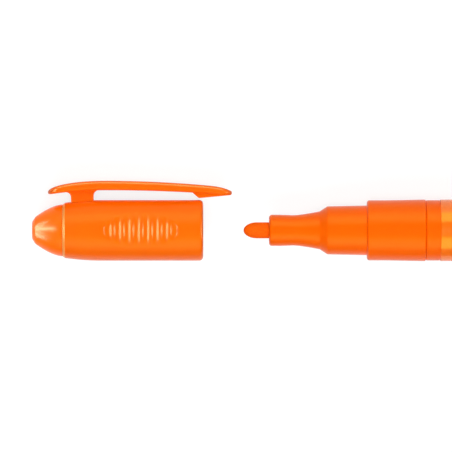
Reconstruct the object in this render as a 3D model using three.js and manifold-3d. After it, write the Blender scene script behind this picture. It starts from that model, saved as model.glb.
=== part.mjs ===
// A valve-fed paint marker with a bullet nib, lying on its side with its cap drawn off.
// Millimetres. The marker lies along X with its tail towards +X, and Z is up.
// Each piece is drawn in the marker's own frame: X along the axis from the collar's shoulder,
// where the cap's mouth comes to rest, and Y towards the pocket clip. The whole is then
// rolled about X until the clip and the barrel both touch the surface that it lies on.
import * as THREE from 'three';
import { mergeVertices } from 'three/addons/utils/BufferGeometryUtils.js';
import Module from 'manifold-3d';

// Fits between pieces, as a gap all round
const SEAT_GAP = 0.1;
const SLIDE_GAP = 0.15;
const FACE_GAP = 0.3;

// Nib: a fibre rod with a rounded end
const NIB_D = 3.9;
const NIB_LENGTH = 27.0;
const NIB_SHOWING = 6.2;
const NIB_POINT = 3.3;

// Front section: nose, waist, flare, the seat that the cap slides on, and the collar
const NOSE_LENGTH = 23.8;
const NOSE_D = 7.6;
const NOSE_EDGE = 0.7;
const NOSE_BORE_LENGTH = 12.6;
const WAIST_DEPTH = 0.11;
const WAIST_TO_SHOULDER = 18.1;
const FLARE_RISE = 0.82;
const FLARE_TO_SHOULDER = 11.5;
const FLARE_BEND = 0.3;
const SEAT_LENGTH = 9.6;
const SEAT_DRAFT = 0.2;
const COLLAR_LENGTH = 14.3;
const COLLAR_FRONT_D = 14.64;
const COLLAR_BACK_D = 15.0;
const COLLAR_EDGE = 1.2;
const COLLAR_BACK_EDGE = 0.25;
const COLLAR_STRAIGHT = 4.5;
const CHAMBER_WALL = 1.5;
const CHAMBER_CONE = 2.8;
const SPIGOT_LENGTH = 10.0;
const SPIGOT_WALL = 0.9;

// Barrel, its label film and its tail plug
const BARREL_LENGTH = 77.35;
const BARREL_EDGE = 0.3;
const BARREL_WALL = 0.7;
const BAND_LENGTH = 3.45;
const BAND_STEP = 0.15;
const LABEL_FILM = 0.3;
const TAIL_LENGTH = 5.4;
const TAIL_EDGE = 1.4;
const TAIL_SPIGOT_LENGTH = 7.5;
const TAIL_SPIGOT_WALL = 1.1;
const TAIL_END_WALL = 1.6;

// Valve: a cup in the front section, a spring-loaded stem and the disc that holds them in
const CUP_START = 1.8;
const CUP_FRONT_WALL = 1.6;
const CUP_WALL = 1.4;
const CUP_FLANGE = 1.2;
const CUP_BACK_LENGTH = 5.0;
const PORT_D = 3.6;
const PORT_CHAMFER = 0.4;
const STEM_PIN_D = 2.2;
const STEM_CUP_D = 3.0;
const STEM_CUP_LENGTH = 1.0;
const STEM_HEAD_D = 5.6;
const STEM_HEAD_LENGTH = 1.2;
const STEM_GUIDE_D = 2.6;
const STEM_GUIDE_LENGTH = 9.0;
const SEAL_D = 5.4;
const SEAL_THICKNESS = 0.8;
const WIRE_D = 0.6;
const SPRING_ROOM = 0.7;
const SPRING_TURNS = 9;
const DISC_PLUG_LENGTH = 2.4;
const DISC_THICKNESS = 1.0;
const DISC_PORT_D = 3.0;
const DISC_HUB_WALL = 0.55;
const DISC_SLOTS = 4;
const DISC_SLOT_WIDTH = 1.6;

// Steel ball that stirs the paint when the marker is shaken
const BALL_D = 6.0;

// Cap: shell, crown and inner cap
const CAP_TO_NIB = 9.8;
const CAP_PROUD = 0.06;
const CAP_WALL = 1.18;
const CAP_END_ROOM = 4.2;
const CAP_MOUTH_EDGE = 1.0;
const CAP_MOUTH_CHAMFER = 0.12;
const CAP_END_DROP = 0.63;
const CAP_END_EDGE = 0.7;
const CAP_END_WALL = 0.83;
const CAP_TAPER = 8.8;
const CAP_WEB = 1.1;
const INNER_CAP_LAP = 5.0;
const INNER_CAP_WALL = 0.9;
const INNER_CAP_LEAD = 0.5;
const INNER_CAP_FLANGE = 1.2;
const NIB_ROOM = 1.2;
const CROWN_LENGTH = 7.3;
const CROWN_STEP = 0.45;
const CROWN_BASE_SLOPE = 0.1;
const CROWN_BEND = 0.28;
const CROWN_SHOULDER = 1.0;
const CROWN_FLANK_LENGTH = 3.9;
const CROWN_FACE_D = 4.2;
const CROWN_EDGE_LENGTH = 0.7;
const CROWN_EDGE_RISE = 1.15;
const CROWN_SPIGOT_LENGTH = 6.5;
const CROWN_LEDGE = 1.3;
const CROWN_HOLLOW_DRAFT = 1.3;

// Grip: an oval of rounded ribs sunk in each side of the cap
const GRIP_TO_MOUTH = 15.1;
const GRIP_WIDTH = 8.6;
const GRIP_DEPTH = 0.35;
const GRIP_SPREAD = 1.18;
const RIBS = 7;
const RIB_PITCH = 2.28;
const RIB_WIDTH = 1.25;

// Pocket clip: an arm over the whole cap, a post near its tail and a pad at its tip
const CLIP_SPACE = 2.38;
const CLIP_THICKNESS = 2.28;
const CLIP_WIDTH = 7.0;
const CLIP_TIP_WIDTH = 5.6;
const CLIP_TAIL_OVERHANG = 3.6;
const CLIP_TIP_OVERHANG = 7.0;
const CLIP_CREST_TO_END = 10.3;
const CLIP_TAIL_DROP = 2.8;
const CLIP_TAIL_UNDER_DROP = 1.0;
const CLIP_TIP_DROP = 1.2;
const CLIP_TAIL_EDGE = 0.6;
const CLIP_TAIL_POINT = 0.15;
const CLIP_TIP_ROUND = 5.2;
const CLIP_TIP_BEND = 1.7;
const CLIP_TIP_BEND_DROP = 0.3;
const CLIP_TIP_EDGE = 0.6;
const CLIP_TIP_CHAMFER = 0.3;
const POST_TO_END = 4.8;
const POST_LENGTH = 5.5;
const POST_WIDTH = 4.4;
const POST_FLARE = 1.3;
const POST_SINK = 0.5;
const TENON_LENGTH = 4.0;
const TENON_WIDTH = 2.6;
const TENON_DEPTH = 0.76;
const PAD_WIDTH = 4.4;
const PAD_GAP = 0.45;
const PAD_TO_MOUTH = 2.6;
const PAD_START_DROP = 0.6;
const PAD_RAMP = 1.5;
const PAD_HEEL_LENGTH = 0.45;
const PAD_HEEL_HEIGHT = 0.15;

// Facets
const SHOWN_SIDES = 40;
const HIDDEN_SIDES = 24;
const ARC_STEPS = 2;
const RIB_STEPS = 4;
const SPRING_STEPS = 8;
const WIRE_SIDES = 5;
const BALL_SIDES = 16;
const MERGE = 1e-4;

// The rest is worked out from these. Names in small letters are places along the axis,
// heights over it or radii.

// Cap and front section share the collar's size: the cap lies flush with the collar
const collarFront = COLLAR_FRONT_D / 2;
const collarBack = COLLAR_BACK_D / 2;
const capOuter = collarFront + CAP_PROUD;
const capBore = capOuter - CAP_WALL;
const seatBack = capBore - SLIDE_GAP;
const seatFront = seatBack - SEAT_DRAFT;
const nose = NOSE_D / 2;
const waist = nose - WAIST_DEPTH;
const flare = nose + FLARE_RISE;
const noseFace = -NOSE_LENGTH;
const waistX = -WAIST_TO_SHOULDER;
const flareX = -FLARE_TO_SHOULDER;
const boreEnd = noseFace + NOSE_BORE_LENGTH;
const chamber = seatFront - CHAMBER_WALL;
const nibBore = NIB_D / 2 + SLIDE_GAP;
const nibTip = noseFace - NIB_SHOWING;
const nibBack = nibTip + NIB_LENGTH;

// Barrel, label and tail plug
const barrelStart = COLLAR_LENGTH + SEAT_GAP;
const barrelEnd = barrelStart + BARREL_LENGTH;
const labelOuter = collarBack;
const labelInner = labelOuter - LABEL_FILM;
const labelSeat = labelInner - SEAT_GAP;
const band = collarBack - BAND_STEP;
const barrelBore = labelSeat - BARREL_WALL;
const spigot = barrelBore - SLIDE_GAP;
const spigotEnd = COLLAR_LENGTH + SPIGOT_LENGTH;
const tailStart = barrelEnd + SEAT_GAP;
const tailFace = tailStart + TAIL_LENGTH;
const tailSpigotStart = tailStart - TAIL_SPIGOT_LENGTH;

// Valve, from the front: stem cup behind the nib, port, seal, head, spring, disc
const valveSocket = spigot - SPIGOT_WALL;
const cup = valveSocket - SLIDE_GAP;
const cupBore = cup - CUP_WALL;
const cupInside = CUP_START + CUP_FRONT_WALL;
const flangeStart = spigotEnd + FACE_GAP;
const flangeEnd = flangeStart + CUP_FLANGE;
const cupEnd = flangeEnd + CUP_BACK_LENGTH;
const port = PORT_D / 2;
const stemStart = nibBack + FACE_GAP;
const sealStart = cupInside + SEAT_GAP;
const sealEnd = sealStart + SEAL_THICKNESS;
const headStart = sealEnd + SEAT_GAP;
const headEnd = headStart + STEM_HEAD_LENGTH;
const coil = STEM_GUIDE_D / 2 + SPRING_ROOM;
const discStart = cupEnd + SEAT_GAP;
const discPlugStart = discStart - DISC_PLUG_LENGTH;
const discEnd = discStart + DISC_THICKNESS;

// Cap, with its mouth at zero and its end towards the minus side
const shellEnd = -(NOSE_LENGTH + NIB_SHOWING + CAP_END_ROOM);
const capEnd = capOuter - CAP_END_DROP;
const capSocket = capEnd - CAP_END_WALL;
const capTravel = NOSE_LENGTH + NIB_SHOWING + CAP_TO_NIB;
const crownSpigot = capSocket - SLIDE_GAP;
const crownSpigotFront = shellEnd + CROWN_SPIGOT_LENGTH;
const innerFlangeBack = crownSpigotFront + SEAT_GAP;
const innerFlangeFront = innerFlangeBack + INNER_CAP_FLANGE;
const webBack = innerFlangeFront + SEAT_GAP;
const webFront = webBack + CAP_WEB;
const innerBore = nose + SLIDE_GAP;
const innerTube = innerBore + INNER_CAP_WALL;
const innerLip = noseFace + INNER_CAP_LAP;
const innerFloor = nibTip - NIB_ROOM;
const innerEnd = innerFloor - INNER_CAP_WALL;
const gripX = -GRIP_TO_MOUTH;
const gripLength = (RIBS + 1) * RIB_PITCH;

// Clip, in the cap's frame
const clipUnder = capOuter + CLIP_SPACE;
const clipTop = clipUnder + CLIP_THICKNESS;
const clipTail = shellEnd - CLIP_TAIL_OVERHANG;
const clipTip = CLIP_TIP_OVERHANG;
const clipCrest = shellEnd + CLIP_CREST_TO_END;
const tipStart = clipTip - CLIP_TIP_ROUND;
const tipTop = clipTop - CLIP_TIP_DROP;
const tipUnder = clipUnder - CLIP_TIP_DROP;
const tailTop = clipTop - CLIP_TAIL_DROP;
const tailUnder = clipUnder - CLIP_TAIL_UNDER_DROP;
const postX = shellEnd + POST_TO_END;
const tenonFoot = capOuter - TENON_DEPTH;
const padFoot = capOuter + PAD_GAP;

const wasm = await Module();
wasm.setup();

// A closed geometry as a solid, with its shared corners merged and its empty triangles dropped
function solidOf(geometry) {
  const bare = geometry.index ? geometry.toNonIndexed() : geometry.clone();
  bare.deleteAttribute('normal');
  bare.deleteAttribute('uv');
  const merged = mergeVertices(bare, MERGE);
  const corners = [];
  for (let i = 0; i < merged.index.count; i += 3) {
    const face = [0, 1, 2].map((k) => merged.index.getX(i + k));
    if (new Set(face).size === 3) corners.push(...face);
  }
  return new wasm.Manifold(new wasm.Mesh({
    numProp: 3,
    vertProperties: merged.attributes.position.array,
    triVerts: new Uint32Array(corners),
  }));
}

// A solid turned about the X axis from its half section: x along the axis, y outwards
function turned(path, sides = SHOWN_SIDES) {
  const section = path.getPoints(ARC_STEPS).map((p) => new THREE.Vector2(p.y, p.x));
  if (THREE.ShapeUtils.area(section) < 0) section.reverse();
  const geometry = new THREE.LatheGeometry(section, sides);
  geometry.rotateZ(-Math.PI / 2);
  return solidOf(geometry);
}

// A ring turned about the X axis between two places and two radii
function ring(start, end, inner, outer, sides = SHOWN_SIDES) {
  const path = new THREE.Path().moveTo(start, inner).lineTo(start, outer)
    .lineTo(end, outer).lineTo(end, inner);
  path.closePath();
  return turned(path, sides);
}

// A side view in X and Y, given a width in Z about the middle plane
function sideways(shape, width) {
  const geometry = new THREE.ExtrudeGeometry(shape, {
    depth: width, bevelEnabled: false, curveSegments: 2 * ARC_STEPS,
  });
  geometry.translate(0, 0, -width / 2);
  return solidOf(geometry);
}

// A box between two places on X and two heights on Y, with a width in Z
function block(x0, x1, y0, y1, width) {
  const geometry = new THREE.BoxGeometry(x1 - x0, y1 - y0, width);
  geometry.translate((x0 + x1) / 2, (y0 + y1) / 2, 0);
  return solidOf(geometry);
}

// Fibre nib: a rod with an elliptical point
function nib() {
  const radius = NIB_D / 2;
  const path = new THREE.Path().moveTo(nibTip, 0)
    .absellipse(nibTip + NIB_POINT, 0, NIB_POINT, radius, Math.PI, Math.PI / 2, true)
    .lineTo(nibBack, radius)
    .lineTo(nibBack, 0);
  return turned(path, HIDDEN_SIDES);
}

// Front section: one moulding from the nose face to the spigot inside the barrel
function frontSection() {
  const quarter = Math.PI / 2;
  const bendX = THREE.MathUtils.lerp(waistX, flareX, FLARE_BEND);
  const path = new THREE.Path().moveTo(noseFace, nibBore)
    .lineTo(noseFace, nose - NOSE_EDGE)
    .absarc(noseFace + NOSE_EDGE, nose - NOSE_EDGE, NOSE_EDGE, Math.PI, quarter, true)
    .lineTo(waistX, waist)
    .quadraticCurveTo(bendX, waist, flareX, flare)
    .lineTo(-SEAT_LENGTH, seatFront)
    .lineTo(0, seatBack)
    .lineTo(0, collarFront - COLLAR_EDGE)
    .absarc(COLLAR_EDGE, collarFront - COLLAR_EDGE, COLLAR_EDGE, Math.PI, quarter, true)
    .lineTo(COLLAR_STRAIGHT, collarFront)
    .lineTo(COLLAR_LENGTH - COLLAR_BACK_EDGE, collarBack)
    .lineTo(COLLAR_LENGTH, collarBack - COLLAR_BACK_EDGE)
    .lineTo(COLLAR_LENGTH, spigot)
    .lineTo(spigotEnd, spigot)
    .lineTo(spigotEnd, valveSocket)
    .lineTo(CUP_START - SEAT_GAP, valveSocket)
    .lineTo(CUP_START - SEAT_GAP, chamber)
    .lineTo(boreEnd + CHAMBER_CONE, chamber)
    .lineTo(boreEnd, nibBore);
  path.closePath();
  return turned(path);
}

// Valve cup: its front wall holds the port that the seal closes
function valveCup() {
  const path = new THREE.Path().moveTo(CUP_START, port)
    .lineTo(CUP_START, cup)
    .lineTo(flangeStart, cup)
    .lineTo(flangeStart, spigot)
    .lineTo(flangeEnd, spigot)
    .lineTo(flangeEnd, cup - SEAT_GAP)
    .lineTo(cupEnd, cup - SEAT_GAP)
    .lineTo(cupEnd, cupBore)
    .lineTo(cupInside, cupBore)
    .lineTo(cupInside, port + PORT_CHAMFER)
    .lineTo(cupInside - PORT_CHAMFER, port);
  path.closePath();
  return turned(path, HIDDEN_SIDES);
}

// Valve stem: the nib pushes its front cup, and its head presses the seal on the port
function valveStem() {
  const pin = STEM_PIN_D / 2;
  const guide = STEM_GUIDE_D / 2;
  const path = new THREE.Path().moveTo(stemStart, 0)
    .lineTo(stemStart, STEM_CUP_D / 2)
    .lineTo(stemStart + STEM_CUP_LENGTH, STEM_CUP_D / 2)
    .lineTo(stemStart + STEM_CUP_LENGTH, pin)
    .lineTo(headStart, pin)
    .lineTo(headStart, STEM_HEAD_D / 2)
    .lineTo(headEnd, STEM_HEAD_D / 2)
    .lineTo(headEnd, guide)
    .lineTo(headEnd + STEM_GUIDE_LENGTH, guide)
    .lineTo(headEnd + STEM_GUIDE_LENGTH, 0);
  return turned(path, HIDDEN_SIDES);
}

// Retaining disc: closes the cup behind the spring, with notches that let the paint in
function retainingDisc() {
  const plug = cupBore - SLIDE_GAP;
  const bore = DISC_PORT_D / 2;
  const path = new THREE.Path().moveTo(discPlugStart, bore)
    .lineTo(discPlugStart, plug)
    .lineTo(discStart, plug)
    .lineTo(discStart, cup - SEAT_GAP)
    .lineTo(discEnd, cup - SEAT_GAP)
    .lineTo(discEnd, bore);
  path.closePath();
  const notch = block(
    discPlugStart - FACE_GAP, discEnd + FACE_GAP, bore + DISC_HUB_WALL, 2 * cup,
    DISC_SLOT_WIDTH);
  let disc = turned(path, HIDDEN_SIDES);
  for (let i = 0; i < DISC_SLOTS; i += 1) {
    const turn = THREE.MathUtils.radToDeg((2 * Math.PI * i) / DISC_SLOTS);
    disc = disc.subtract(notch.rotate([turn, 0, 0]));
  }
  return disc;
}

// Valve spring: one unbroken wire round the stem's guide
function valveSpring() {
  const start = headEnd + FACE_GAP + WIRE_D / 2;
  const length = discPlugStart - FACE_GAP - WIRE_D / 2 - start;
  const steps = SPRING_TURNS * SPRING_STEPS;
  const slope = Math.atan2(length / SPRING_TURNS, 2 * Math.PI * coil);
  const middles = [];
  const corners = [];
  const faces = [];
  for (let i = 0; i <= steps; i += 1) {
    const turn = (2 * Math.PI * i) / SPRING_STEPS;
    const out = new THREE.Vector3(0, Math.cos(turn), Math.sin(turn));
    const along = new THREE.Vector3(
      Math.sin(slope), -Math.cos(slope) * Math.sin(turn), Math.cos(slope) * Math.cos(turn));
    const across = new THREE.Vector3().crossVectors(along, out);
    const middle = out.clone().multiplyScalar(coil);
    middle.x = start + (length * i) / steps;
    middles.push(middle);
    for (let k = 0; k < WIRE_SIDES; k += 1) {
      const angle = (2 * Math.PI * k) / WIRE_SIDES;
      corners.push(middle.clone()
        .addScaledVector(out, (Math.cos(angle) * WIRE_D) / 2)
        .addScaledVector(across, (Math.sin(angle) * WIRE_D) / 2));
    }
  }
  for (let i = 0; i < steps; i += 1) {
    for (let k = 0; k < WIRE_SIDES; k += 1) {
      const a = i * WIRE_SIDES + k;
      const b = i * WIRE_SIDES + ((k + 1) % WIRE_SIDES);
      faces.push(a, b, b + WIRE_SIDES, a, b + WIRE_SIDES, a + WIRE_SIDES);
    }
  }
  const last = steps * WIRE_SIDES;
  for (let k = 1; k < WIRE_SIDES - 1; k += 1) {
    faces.push(0, k + 1, k, last, last + k, last + k + 1);
  }
  console.log(`valve spring, least gap to itself: ${leastGap(middles).toFixed(2)} mm`);
  const geometry = new THREE.BufferGeometry().setFromPoints(corners);
  geometry.setIndex(faces);
  return solidOf(geometry);
}

// The least clear distance between stretches of the wire that are half a turn or more apart
function leastGap(middles) {
  let least = Infinity;
  middles.forEach((p, i) => {
    for (let j = i + SPRING_STEPS / 2; j < middles.length; j += 1) {
      least = Math.min(least, p.distanceTo(middles[j]) - WIRE_D);
    }
  });
  return least;
}

// Barrel: a tube with a shallow seat for the label between two bare bands
function barrel() {
  const path = new THREE.Path().moveTo(barrelStart, barrelBore)
    .lineTo(barrelStart, band - BARREL_EDGE)
    .lineTo(barrelStart + BARREL_EDGE, band)
    .lineTo(barrelStart + BAND_LENGTH, band)
    .lineTo(barrelStart + BAND_LENGTH, labelSeat)
    .lineTo(barrelEnd - BAND_LENGTH, labelSeat)
    .lineTo(barrelEnd - BAND_LENGTH, band)
    .lineTo(barrelEnd, band)
    .lineTo(barrelEnd, barrelBore);
  path.closePath();
  return turned(path);
}

// Label: a bare film sleeve between the barrel's two bands
function label() {
  const start = barrelStart + BAND_LENGTH + SEAT_GAP;
  const end = barrelEnd - BAND_LENGTH - SEAT_GAP;
  return ring(start, end, labelInner, labelOuter);
}

// Tail plug: a cup pressed into the barrel, with a flat end that the marker can stand on
function tailPlug() {
  const bore = spigot - TAIL_SPIGOT_WALL;
  const path = new THREE.Path().moveTo(tailSpigotStart, bore)
    .lineTo(tailSpigotStart, spigot)
    .lineTo(tailStart, spigot)
    .lineTo(tailStart, band)
    .lineTo(tailFace - TAIL_EDGE, band)
    .absarc(tailFace - TAIL_EDGE, band - TAIL_EDGE, TAIL_EDGE, Math.PI / 2, 0, true)
    .lineTo(tailFace, 0)
    .lineTo(tailFace - TAIL_END_WALL, 0)
    .lineTo(tailFace - TAIL_END_WALL, bore);
  path.closePath();
  return turned(path);
}

// The cap shell's outline from its mouth to its end, grown all round by a gap
function capOutline(gap) {
  const outer = capOuter + gap;
  const end = capEnd + gap;
  const mouthEdge = Math.min(CAP_MOUTH_EDGE, CAP_WALL - CAP_MOUTH_CHAMFER);
  const endX = shellEnd + CAP_END_EDGE;
  const taperX = endX + CAP_TAPER;
  return new THREE.Path().moveTo(0, outer - mouthEdge)
    .absarc(-mouthEdge, outer - mouthEdge, mouthEdge, 0, Math.PI / 2, false)
    .lineTo(taperX, outer)
    .quadraticCurveTo((taperX + endX) / 2, outer, endX, end)
    .absarc(endX, end - CAP_END_EDGE, CAP_END_EDGE, Math.PI / 2, Math.PI, false);
}

// The space that the ribs leave in the oval grips: an oval bar less a ribbed core. The core
// is flatter than the shell, so each grip runs out to nothing at its sides
function gripCutter() {
  const deep = capOuter - GRIP_DEPTH;
  const oval = new THREE.Shape()
    .absellipse(gripX, 0, gripLength / 2, GRIP_WIDTH / 2, 0, 2 * Math.PI, false);
  const path = new THREE.Path().moveTo(gripX - gripLength, 0)
    .lineTo(gripX - gripLength, deep);
  for (let i = 0; i < RIBS; i += 1) {
    const ribX = gripX + (i - (RIBS - 1) / 2) * RIB_PITCH;
    for (let k = 0; k <= RIB_STEPS; k += 1) {
      const angle = Math.PI * (1 - k / RIB_STEPS);
      path.lineTo(
        ribX + (Math.cos(angle) * RIB_WIDTH) / 2, deep + Math.sin(angle) * GRIP_DEPTH);
    }
  }
  path.lineTo(gripX + gripLength, deep).lineTo(gripX + gripLength, 0);
  const core = turned(path).scale([1, GRIP_SPREAD, 1]);
  return sideways(oval, 2 * clipTop).subtract(core);
}

// Cap shell: a tube with a web that the inner cap's flange rests on
function capShell() {
  const path = capOutline(0)
    .lineTo(shellEnd, capSocket)
    .lineTo(webBack, capSocket)
    .lineTo(webBack, innerTube + SLIDE_GAP)
    .lineTo(webFront, innerTube + SLIDE_GAP)
    .lineTo(webFront, capBore)
    .lineTo(-CAP_MOUTH_CHAMFER, capBore)
    .lineTo(0, capBore + CAP_MOUTH_CHAMFER);
  path.closePath();
  const pocket = block(
    postX - TENON_LENGTH / 2 - SLIDE_GAP, postX + TENON_LENGTH / 2 + SLIDE_GAP,
    tenonFoot - SLIDE_GAP, clipUnder, TENON_WIDTH + 2 * SLIDE_GAP);
  return turned(path).subtract(gripCutter()).subtract(pocket);
}

// Crown: the blunt cone that closes the cap, with a spigot that keeps the inner cap in
function capCrown() {
  const base = capEnd - CROWN_STEP;
  const start = shellEnd - SEAT_GAP;
  const face = start - CROWN_LENGTH;
  const flankX = face + CROWN_FLANK_LENGTH;
  const bendX = THREE.MathUtils.lerp(flankX, start, CROWN_BEND);
  const bendHeight = base - (start - bendX) * CROWN_BASE_SLOPE;
  const bore = innerTube + SLIDE_GAP;
  const path = new THREE.Path().moveTo(crownSpigotFront, bore)
    .lineTo(crownSpigotFront, crownSpigot)
    .lineTo(start, crownSpigot)
    .lineTo(start, base)
    .quadraticCurveTo(bendX, bendHeight, flankX, base - CROWN_SHOULDER)
    .lineTo(face + CROWN_EDGE_LENGTH, CROWN_FACE_D / 2 + CROWN_EDGE_RISE)
    .lineTo(face, CROWN_FACE_D / 2)
    .lineTo(face, 0)
    .lineTo(flankX, 0)
    .lineTo(flankX, bore - CROWN_LEDGE - CROWN_HOLLOW_DRAFT)
    .lineTo(start, bore - CROWN_LEDGE)
    .lineTo(start, bore);
  path.closePath();
  return turned(path);
}

// Inner cap: the soft cup that closes round the nose and keeps the nib wet
function innerCap() {
  const path = new THREE.Path().moveTo(innerLip, innerBore + INNER_CAP_LEAD)
    .lineTo(innerLip, innerTube)
    .lineTo(innerFlangeFront, innerTube)
    .lineTo(innerFlangeFront, crownSpigot)
    .lineTo(innerFlangeBack, crownSpigot)
    .lineTo(innerFlangeBack, innerTube)
    .lineTo(innerEnd, innerTube)
    .lineTo(innerEnd, 0)
    .lineTo(innerFloor, 0)
    .lineTo(innerFloor, innerBore)
    .lineTo(innerLip - INNER_CAP_LEAD, innerBore);
  path.closePath();
  return turned(path, HIDDEN_SIDES);
}

// Height of the arm's underside between its tail and its crest
function underTail(x) {
  const share = (clipCrest - x) / (clipCrest - clipTail);
  return clipUnder - CLIP_TAIL_UNDER_DROP * share * share;
}

// The clip arm from the side: tail, crest, long fall to the tip, and back underneath
function armSide() {
  const shape = new THREE.Shape();
  shape.moveTo(clipTail, tailTop);
  shape.absellipse(
    clipCrest, tailTop, clipCrest - clipTail, CLIP_TAIL_DROP, Math.PI, Math.PI / 2, true);
  shape.quadraticCurveTo((clipCrest + tipStart) / 2, clipTop, tipStart, tipTop);
  shape.quadraticCurveTo(
    clipTip - CLIP_TIP_BEND, tipTop - CLIP_TIP_BEND_DROP, clipTip, tipUnder + CLIP_TIP_EDGE);
  shape.lineTo(clipTip - CLIP_TIP_CHAMFER, tipUnder);
  shape.quadraticCurveTo((clipCrest + clipTip) / 2, clipUnder, clipCrest, clipUnder);
  shape.quadraticCurveTo(
    (clipCrest + clipTail) / 2, clipUnder, clipTail + CLIP_TAIL_EDGE, tailUnder);
  shape.lineTo(clipTail + CLIP_TAIL_POINT, (tailUnder + tailTop) / 2);
  return shape;
}

// The clip arm from above: widest at its tail, narrower and rounded at its tip
function armAbove() {
  const wide = CLIP_WIDTH / 2;
  const slim = CLIP_TIP_WIDTH / 2;
  const quarter = Math.PI / 2;
  const shape = new THREE.Shape();
  shape.moveTo(clipTail + slim, -wide);
  shape.lineTo(clipCrest, -wide);
  shape.lineTo(clipTip - slim, -slim);
  shape.absellipse(clipTip - slim, 0, slim, slim, -quarter, quarter, false);
  shape.lineTo(clipCrest, wide);
  shape.lineTo(clipTail + slim, wide);
  shape.absellipse(clipTail + slim, 0, slim, wide, quarter, 3 * quarter, false);
  return shape;
}

// The post from the side: it spreads where it meets the arm, and the cap cuts its foot
function postSide() {
  const back = postX - POST_LENGTH / 2;
  const front = postX + POST_LENGTH / 2;
  const flareBack = back - POST_FLARE;
  const underBack = underTail(flareBack);
  const arm = clipUnder + POST_SINK;
  const shape = new THREE.Shape();
  shape.moveTo(back, tenonFoot);
  shape.lineTo(front, tenonFoot);
  shape.lineTo(front, clipUnder - POST_FLARE);
  shape.quadraticCurveTo(front, clipUnder, front + POST_FLARE, clipUnder);
  shape.lineTo(front + POST_FLARE, arm);
  shape.lineTo(flareBack, arm);
  shape.lineTo(flareBack, underBack);
  shape.quadraticCurveTo(back, underBack, back, underBack - POST_FLARE);
  return shape;
}

// The pad from the side: a ramp down to its foot, then a slow rise to the arm's tip
function padSide() {
  const start = -PAD_TO_MOUTH;
  const foot = start + PAD_RAMP;
  const shape = new THREE.Shape();
  shape.moveTo(start, clipUnder - PAD_START_DROP);
  shape.lineTo(foot - PAD_HEEL_LENGTH, padFoot + PAD_HEEL_HEIGHT);
  shape.lineTo(foot, padFoot);
  shape.lineTo(clipTip - CLIP_TIP_CHAMFER, tipUnder);
  shape.lineTo(clipTip - CLIP_TIP_ROUND, clipUnder);
  shape.lineTo(start, clipUnder);
  return shape;
}

// Pocket clip: arm, pad and post with its tenon, joined as one moulding
function pocketClip() {
  const above = new THREE.ExtrudeGeometry(armAbove(), {
    depth: clipTop, bevelEnabled: false, curveSegments: 2 * ARC_STEPS,
  });
  above.rotateX(-Math.PI / 2);
  above.translate(0, capBore, 0);
  const arm = sideways(armSide(), CLIP_WIDTH).add(sideways(padSide(), PAD_WIDTH));
  const around = capOutline(SEAT_GAP).lineTo(shellEnd, 0).lineTo(0, 0);
  around.closePath();
  const post = sideways(postSide(), POST_WIDTH).subtract(turned(around));
  const tenon = block(
    postX - TENON_LENGTH / 2, postX + TENON_LENGTH / 2, tenonFoot, clipUnder, TENON_WIDTH);
  return arm.intersect(solidOf(above)).add(post).add(tenon);
}

// Mixing ball
function mixingBall() {
  return solidOf(new THREE.SphereGeometry(BALL_D / 2, BALL_SIDES, BALL_SIDES / 2));
}

// Materials
const moulded = (color, roughness) => new THREE.MeshStandardMaterial({
  color, roughness, metalness: 0, flatShading: true,
});
const metal = (color, roughness) => new THREE.MeshStandardMaterial({
  color, roughness, metalness: 1, flatShading: true,
});
const orangePolypropylene = moulded('#ff6a00', 0.35);
const orangeFilm = moulded('#ff7d00', 0.2);
const paintedFibre = moulded('#fb5f00', 0.9);
const naturalPolyethylene = moulded('#e9e6dd', 0.5);
const valvePlastic = moulded('#f4f4f0', 0.45);
const blackRubber = moulded('#222222', 0.8);
const springSteel = metal('#b9bcc0', 0.3);
const ballSteel = metal('#c6c8cc', 0.15);

// A named mesh of one solid
function piece(name, solid, material) {
  const { numProp, numVert, vertProperties, triVerts } = solid.getMesh();
  const places = new Float32Array(3 * numVert);
  for (let i = 0; i < numVert; i += 1) {
    places.set(vertProperties.subarray(i * numProp, i * numProp + 3), 3 * i);
  }
  const geometry = new THREE.BufferGeometry();
  geometry.setAttribute('position', new THREE.BufferAttribute(places, 3));
  geometry.setIndex(new THREE.BufferAttribute(triVerts, 1));
  geometry.computeVertexNormals();
  const mesh = new THREE.Mesh(geometry, material.clone());
  mesh.name = name;
  return mesh;
}

// The cap, drawn off along the axis by its travel
const cap = new THREE.Group();
cap.add(
  piece('cap_shell', capShell(), orangePolypropylene),
  piece('cap_crown', capCrown(), orangePolypropylene),
  piece('inner_cap', innerCap(), naturalPolyethylene),
  piece('pocket_clip', pocketClip(), orangePolypropylene),
);
cap.position.x = -capTravel;

// The marker and its cap, in the marker's own frame
const marker = new THREE.Group();
marker.add(
  cap,
  piece('nib', nib(), paintedFibre),
  piece('front_section', frontSection(), orangePolypropylene),
  piece('valve_cup', valveCup(), valvePlastic),
  piece('valve_seal', ring(
    sealStart, sealEnd, STEM_PIN_D / 2 + SEAT_GAP, SEAL_D / 2, HIDDEN_SIDES), blackRubber),
  piece('valve_stem', valveStem(), valvePlastic),
  piece('valve_spring', valveSpring(), springSteel),
  piece('retaining_disc', retainingDisc(), valvePlastic),
  piece('barrel', barrel(), orangePolypropylene),
  piece('label_film', label(), orangeFilm),
  piece('tail_plug', tailPlug(), orangePolypropylene),
);

// Rolled until the arm's edge at its crest lies as low as the label
const edgeReach = Math.hypot(clipTop, CLIP_WIDTH / 2);
const edgeAngle = Math.atan2(CLIP_WIDTH / 2, clipTop);
marker.rotation.x = edgeAngle - Math.asin(labelOuter / edgeReach);

// The ball lies on the lowest line of the barrel's bore, against the tail plug
const ball = piece('mixing_ball', mixingBall(), ballSteel);
const boreFloor = barrelBore * Math.cos(Math.PI / SHOWN_SIDES);
ball.position.set(
  tailSpigotStart - FACE_GAP - BALL_D / 2, 0, BALL_D / 2 + SEAT_GAP - boreFloor);

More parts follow.
